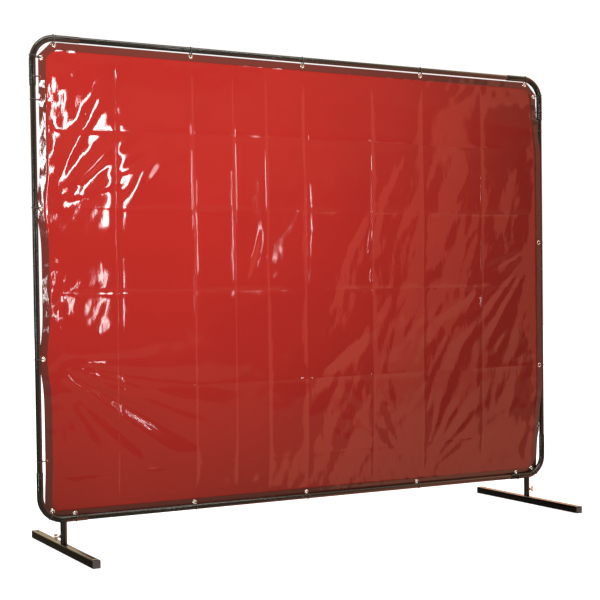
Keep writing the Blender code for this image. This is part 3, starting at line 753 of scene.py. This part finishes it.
def folds_at(x, z):
    """The crossing lines of the sheet's packing folds, ridges and valleys in turn."""
    height = 0.0
    for number, column in enumerate(FOLD_COLUMNS):
        wander = 0.0012 * noise.noise(Vector((number * 4.3, z * 1.5, 0.5)))
        depth = 0.0022 + 0.0020 * noise.noise(Vector((number * 9.1, z * 5.0, 2.5)))
        height += (-1) ** number * depth * crease(x - column - wander, 0.0055)
    for number, (row, rise) in enumerate(FOLD_ROWS):
        level = row + rise * (x + CURTAIN_SIDE) / (2 * CURTAIN_SIDE)
        depth = 0.0012 + 0.0022 * noise.noise(Vector((number * 5.7, x * 5.0, 8.5)))
        height += (-1) ** number * depth * crease(z - level, 0.007)
    return height


def rumpled_at(x, z):
    """How crumpled the sheet is, twice from 0 to 1: near its left side, and over its right half."""
    return 1 - ease(0.02, 0.48, x + CURTAIN_SIDE), ease(-0.45, 0.40, x) * (1 - ease(1.30, 1.72, z))


def relief(x, z):
    """Slack, fold lines and dents, in metres before (-) or behind (+) the sheet's own lie."""
    rim = min(x - left_edge(z), right_edge(z) - x, z - CURTAIN_LOW, CURTAIN_HIGH - z)
    free = ease(0.03, 0.16, rim)
    billow = 0.012 * noise.noise(Vector((x * 0.9, 3.1, z * 1.1)))
    billow += 0.005 * noise.noise(Vector((x * 2.4, 7.7, z * 2.9)))
    near_left, rumpled = rumpled_at(x, z)
    dents = 0.0017 * near_left * ease(1.05, 1.35, z) * leaning(x, z, 5, 13, 4.2)
    dents += 0.0007 * near_left * leaning(x, z, 16, 36, 1.2)
    dents += 0.0034 * rumpled * leaning(x, z, 2.6, 9, 6.6) + 0.0007 * rumpled * leaning(x, z, 10, 32, 3.3)
    dents += 0.0004 * noise.noise(Vector((x * 22, 6.6, z * 20)))
    dents += 0.0009 * (near_left + rumpled) * ridges(x, z, 2.6, 8.0, 1.5)
    dents -= 0.0008 * rumpled * ridges(x, z, 3.4, 12.0, 9.5)
    pulled = fan(x, z, EYELET_SPOTS["eyelet_left_2"], 2.4, 0.75, 0.0042, 1)
    pulled += fan(x, z, EYELET_SPOTS["eyelet_left_3"], 5.1, 0.95, 0.009, -1)
    pulled += fan(x, z, EYELET_SPOTS["eyelet_right_2"], 7.9, 0.80, 0.0045, -1)
    pulled += fan(x, z, EYELET_SPOTS["eyelet_bottom_5"], 3.7, 0.70, 0.005, 1)
    for spot_x, spot_z, lean, long, wide, height in PUCKERS:
        along = (x - spot_x) * math.cos(lean) + (z - spot_z) * math.sin(lean)
        over = (z - spot_z) * math.cos(lean) - (x - spot_x) * math.sin(lean)
        if abs(along) < 3 * long and abs(over) < 3 * wide:
            pulled -= height * math.exp(-(along / long) ** 2 - (over / wide) ** 2)
    edge_waves = (1 - ease(0.02, 0.10, abs(rim - 0.045))) * noise.noise(Vector((x * 26, 2.2, z * 26)))
    dented = free * (billow + folds_at(x, z) + pulled) + ease(0.02, 0.07, rim) * dents
    return dented + 0.0009 * edge_waves * ease(0.0, 0.02, rim)


def spread_lines(start, end, spacing, marks, fine):
    """Grid lines from start to end, evenly spaced, with closer ones beside each mark."""
    lines = {start, end}
    count = round((end - start) / spacing)
    lines.update(start + (end - start) * step / count for step in range(count + 1))
    lines = [line for line in lines
             if line in (start, end) or all(abs(line - mark) > 2.6 * fine for mark in marks)]
    for mark in marks:
        lines += [mark + step * fine for step in (-2, -1, 0, 1, 2) if start < mark + step * fine < end]
    return sorted(set(lines))


hem_columns = [side * (CURTAIN_SIDE - HEM_WIDTH) for side in (-1, 1)]
hem_rows = [CURTAIN_LOW + HEM_WIDTH, CURTAIN_HIGH - HEM_WIDTH]
columns = spread_lines(-CURTAIN_SIDE, CURTAIN_SIDE, COLUMN_SPACING, FOLD_COLUMNS, FOLD_SPACING)
columns = [line for line in columns if all(abs(line - mark) > HEM_CLEAR for mark in hem_columns)]
columns = sorted(columns + [mark + step for mark in hem_columns for step in (-HEM_STEP, HEM_STEP)])
rows = spread_lines(CURTAIN_LOW, CURTAIN_HIGH, ROW_SPACING, [row for row, _ in FOLD_ROWS], FOLD_SPACING)
rows = [line for line in rows if all(abs(line - mark) > HEM_CLEAR for mark in hem_rows)]
rows = sorted(rows + [mark + step for mark in hem_rows for step in (-HEM_STEP, HEM_STEP)])

sheet_mesh = bpy.data.meshes.new("sheet")
shape = bmesh.new()
bmesh.ops.create_grid(shape, x_segments=len(columns) - 1, y_segments=len(rows) - 1, size=1)
for vertex in shape.verts:
    column = round((vertex.co.x + 1) / 2 * (len(columns) - 1))
    row = round((vertex.co.y + 1) / 2 * (len(rows) - 1))
    share = (columns[column] + CURTAIN_SIDE) / (2 * CURTAIN_SIDE)
    vertex.co = (columns[column], 0, rows[row] + rise_at(rows[row]) * share)
for side in (-1, 1):
    for edge_z, level, cut in ((CURTAIN_HIGH, 1, TOP_CORNER_CUT), (CURTAIN_LOW, -1, BOTTOM_CORNER_CUT)):
        bmesh.ops.bisect_plane(shape, geom=shape.verts[:] + shape.edges[:] + shape.faces[:], dist=0.00001,
                               plane_co=(side * (CURTAIN_SIDE - cut), 0, edge_z), plane_no=(side, 0, level),
                               clear_outer=True)
shape.to_mesh(sheet_mesh)
shape.free()
curtain = bpy.data.objects.new("curtain_sheet", sheet_mesh)
bpy.context.scene.collection.objects.link(curtain)
slim_holes = [Vector((x, lap(x, z), z)) for z in SLIM_TIE_HEIGHTS
              for x in (left_edge(z) + SLIM_TIE_INSET, right_edge(z) - SLIM_TIE_INSET)]
seats = [*EYELET_SPOTS.values(), *slim_holes]
thick = curtain.vertex_groups.new(name="thick")
doubled_parts = []
rumpled_parts = []
for vertex in sheet_mesh.vertices:
    x, z = vertex.co.x, vertex.co.z
    corner = min((CURTAIN_SIDE - abs(x) + CURTAIN_HIGH - z - TOP_CORNER_CUT) * math.sqrt(0.5),
                 (CURTAIN_SIDE - abs(x) + z - CURTAIN_LOW - BOTTOM_CORNER_CUT) * math.sqrt(0.5))
    rim = min(CURTAIN_SIDE - abs(x), z - CURTAIN_LOW, CURTAIN_HIGH - z, corner)
    doubled = 1.0 if rim < HEM_WIDTH else 0.0
    doubled_parts.append(doubled)
    rumpled_parts.append(max(0.55 * rumpled_at(x, z)[0], rumpled_at(x, z)[1]))
    thick.add([vertex.index], 1.0 if doubled else FILM / HEM_THICKNESS, "REPLACE")
    drawn = (left_edge(z) + CURTAIN_SIDE) * (1 - ease(*PULL_FADE, CURTAIN_SIDE + x))
    drawn += (right_edge(z) - CURTAIN_SIDE) * (1 - ease(*PULL_FADE, CURTAIN_SIDE - x))
    x += drawn
    seat = 1.0
    for spot in seats:
        if abs(x - spot.x) < 0.05 and abs(z - spot.z) < 0.05:
            seat = ease(0.012, 0.045, math.hypot(x - spot.x, z - spot.z))
            level_y = spot.y
            break
    y = lap(x, z) + relief(x, z)
    vertex.co = (x, y if seat == 1.0 else y * seat + level_y * (1 - seat), z)
hem = sheet_mesh.attributes.new("hem", "FLOAT", "POINT")
hem.data.foreach_set("value", doubled_parts)
rumple = sheet_mesh.attributes.new("rumple", "FLOAT", "POINT")
rumple.data.foreach_set("value", rumpled_parts)
wall = curtain.modifiers.new("film", "SOLIDIFY")
wall.thickness = HEM_THICKNESS
wall.offset = 0
wall.vertex_group = "thick"
apply_all(curtain)
bpy.ops.object.select_all(action="DESELECT")
punches = []
for spots, radius, sides in ((EYELET_SPOTS.values(), PUNCH_RADIUS, 28), (slim_holes, SLIM_HOLE_RADIUS, 20)):
    for spot in spots:
        bpy.ops.mesh.primitive_cylinder_add(vertices=sides, radius=radius, depth=PUNCH_DEPTH,
                                            location=spot, rotation=(math.radians(90), 0, 0))
        punches.append(bpy.context.object)
for punch in punches:
    punch.select_set(True)
bpy.context.view_layer.objects.active = punches[0]
bpy.ops.object.join()
punch = bpy.context.object
cut = curtain.modifiers.new("holes", "BOOLEAN")
cut.object = punch
apply_all(curtain)
bpy.data.objects.remove(punch)
curtain.vertex_groups.clear()
smooth(curtain, 40)

red = bpy.data.materials.new("red_pvc")
red.use_nodes = True
tree = red.node_tree
shader = tree.nodes["Principled BSDF"]
shader.inputs["Roughness"].default_value = 0.04
shader.inputs["Specular IOR Level"].default_value = 0.5
doubled = tree.nodes.new("ShaderNodeAttribute")
doubled.attribute_name = "hem"
uneven = tree.nodes.new("ShaderNodeGroup")
uneven.node_tree = UNEVENNESS
uneven.inputs["Patch Scale"].default_value = 3.0
uneven.inputs["Grain Scale"].default_value = 260.0
film = tree.nodes.new("ShaderNodeMix")
film.data_type = "RGBA"
film.inputs["A"].default_value = (0.128, 0.0050, 0.0040, 1)
film.inputs["B"].default_value = (0.155, 0.0068, 0.0052, 1)
layered = tree.nodes.new("ShaderNodeMix")
layered.data_type = "RGBA"
layered.inputs["B"].default_value = (0.052, 0.0090, 0.0070, 1)
raised = tree.nodes.new("ShaderNodeBump")
raised.inputs["Strength"].default_value = 0.10
raised.inputs["Distance"].default_value = 0.0004
place = tree.nodes.new("ShaderNodeTexCoord")
lean = tree.nodes.new("ShaderNodeMapping")
lean.inputs["Rotation"].default_value = (0, math.radians(23), 0)
lean.inputs["Scale"].default_value = (26, 1, 9)
crumples = tree.nodes.new("ShaderNodeTexNoise")
crumples.inputs["Scale"].default_value = 1.0
crumples.inputs["Detail"].default_value = 3
where = tree.nodes.new("ShaderNodeAttribute")
where.attribute_name = "rumple"
masked = tree.nodes.new("ShaderNodeMath")
masked.operation = "MULTIPLY"
crumpled = tree.nodes.new("ShaderNodeBump")
crumpled.inputs["Strength"].default_value = 0.5
crumpled.inputs["Distance"].default_value = 0.0020
tree.links.new(place.outputs["Object"], lean.inputs["Vector"])
tree.links.new(lean.outputs["Vector"], crumples.inputs["Vector"])
tree.links.new(crumples.outputs["Fac"], masked.inputs[0])
tree.links.new(where.outputs["Fac"], masked.inputs[1])
tree.links.new(masked.outputs["Value"], crumpled.inputs["Height"])
tree.links.new(crumpled.outputs["Normal"], raised.inputs["Normal"])
tree.links.new(uneven.outputs["Patches"], film.inputs["Factor"])
tree.links.new(film.outputs["Result"], layered.inputs["A"])
tree.links.new(doubled.outputs["Fac"], layered.inputs["Factor"])
tree.links.new(layered.outputs["Result"], shader.inputs["Base Color"])
tree.links.new(uneven.outputs["Grain"], raised.inputs["Height"])
tree.links.new(raised.outputs["Normal"], shader.inputs["Normal"])
place_piece(curtain, "curtain_sheet", red, "frame", "red_pvc", "curtain")


# ---------------------------------------------------------------- eyelets
# Two-part rolled eyelets of bright nickel-plated brass clinch the doubled hem: a domed collar on
# the front and its washer behind.

NICKEL = coated("nickel_plate", (0.70, 0.69, 0.66), (0.86, 0.85, 0.83), (0.12, 0.26), 80, 900, 0.0001,
                metallic=1.0)
COLLAR_WIDTH = 0.004        # bore to the collar's outer edge
ROLL_RADIUS = 0.0019        # of the roll across the bore's edge
ROLL_HEIGHT = 0.0012
SEAT_PLAY = 0.00015         # hem to the collar's outer edge
EDGE_HEIGHT = 0.0005
for name, spot in EYELET_SPOTS.items():
    low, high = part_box(name)
    radius = (high.x - low.x) / 2
    half = (high.y - low.y) / 2
    hole = radius - COLLAR_WIDTH
    roll = []
    for step in range(13):
        turn = math.pi * step / 12
        roll.append((hole + ROLL_RADIUS - ROLL_RADIUS * math.cos(turn),
                     half - ROLL_HEIGHT + ROLL_HEIGHT * math.sin(turn)))
    roll = list(reversed(roll))
    front = [(radius, HEM_THICKNESS / 2 + SEAT_PLAY), (radius, HEM_THICKNESS / 2 + EDGE_HEIGHT)] + roll
    back = [(r, -h) for r, h in reversed(front)]
    ring = turned(front + back + [front[0]], 40)
    ring.location = spot
    ring.rotation_euler.x = math.radians(90)
    bare(ring)
    bpy.ops.object.mode_set(mode="EDIT")
    bpy.ops.mesh.select_all(action="SELECT")
    bpy.ops.mesh.remove_doubles(threshold=0.00001)
    bpy.ops.mesh.normals_make_consistent(inside=False)
    bpy.ops.object.mode_set(mode="OBJECT")
    smooth(ring, 60)
    place_piece(ring, f"rolled_{name}", NICKEL, "frame", "nickel_plate", name)


# ---------------------------------------------------------------- cable ties
# Black nylon ties, drawn tight round tube and hem through each eyelet, with their tails cut off.
# The loops are copies of the solid parts, with their edges softened. Slimmer straps through small
# punched holes hold the hem to each upright at three more heights.

NYLON = coated("black_nylon", (0.012, 0.012, 0.012), (0.022, 0.022, 0.022), (0.34, 0.48),
               50, 1200, 0.0002)
SLIM_TIE_THICKNESS = 0.0009
SLIM_TIE_BENDS = (0.0012, 0.0010)   # inner radii at the curtain's edge and in its hole
for name in [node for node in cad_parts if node.startswith("cable_tie_")]:
    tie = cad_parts[name].copy()
    tie.data = tie.data.copy()
    tie.parent = None
    bpy.context.scene.collection.objects.link(tie)
    merge = tie.modifiers.new("merge", "WELD")
    merge.merge_threshold = 0.00001
    edge_round(tie, 0.00025, 2, 30)
    apply_all(tie)
    smooth(tie, 50)
    place_piece(tie, f"nylon_{name}", NYLON, "frame", "black_plastic", name)

for side, side_name in SIDES:
    for number, z in enumerate(SLIM_TIE_HEIGHTS, 1):
        hole_x = abs(left_edge(z) if side < 0 else right_edge(z)) - SLIM_TIE_INSET
        edge_x = hole_x + SLIM_TIE_INSET
        depth = lap(side * hole_x, z)
        on_elbow = z > AXIS_HIGH - LEG or z < AXIS_LOW + LEG
        tube = (SOCKET_RADIUS if on_elbow else TUBE_RADIUS) + SLIM_TIE_SLACK
        around = []
        at_edge, in_hole = SLIM_TIE_BENDS
        for centre, level, radius in ((AXIS_X, 0, tube), (edge_x, depth, at_edge), (hole_x, depth, in_hole)):
            for step in range(24):
                turn = 2 * math.pi * step / 24
                around.append((centre + radius * math.cos(turn), level + radius * math.sin(turn)))
        around = [around[index] for index in convex_hull_2d(around)]
        band = bmesh.new()
        lower = [band.verts.new((side * px, py, z - SLIM_TIE_WIDTH / 2)) for px, py in around]
        upper = [band.verts.new((side * px, py, z + SLIM_TIE_WIDTH / 2)) for px, py in around]
        for step in range(len(around)):
            corners = (lower[step - 1], lower[step], upper[step], upper[step - 1])
            band.faces.new(corners if side > 0 else corners[::-1])
        mesh = bpy.data.meshes.new("slim_tie")
        band.to_mesh(mesh)
        band.free()
        slim = bpy.data.objects.new("slim_tie", mesh)
        bpy.context.scene.collection.objects.link(slim)
        strap = slim.modifiers.new("strap", "SOLIDIFY")
        strap.thickness = SLIM_TIE_THICKNESS
        strap.offset = 1
        edge_round(slim, 0.0002, 2, 60)
        apply_all(slim)
        smooth(slim, 50)
        place_piece(slim, f"slim_tie_{side_name}_{number}", NYLON, "frame", "black_plastic")
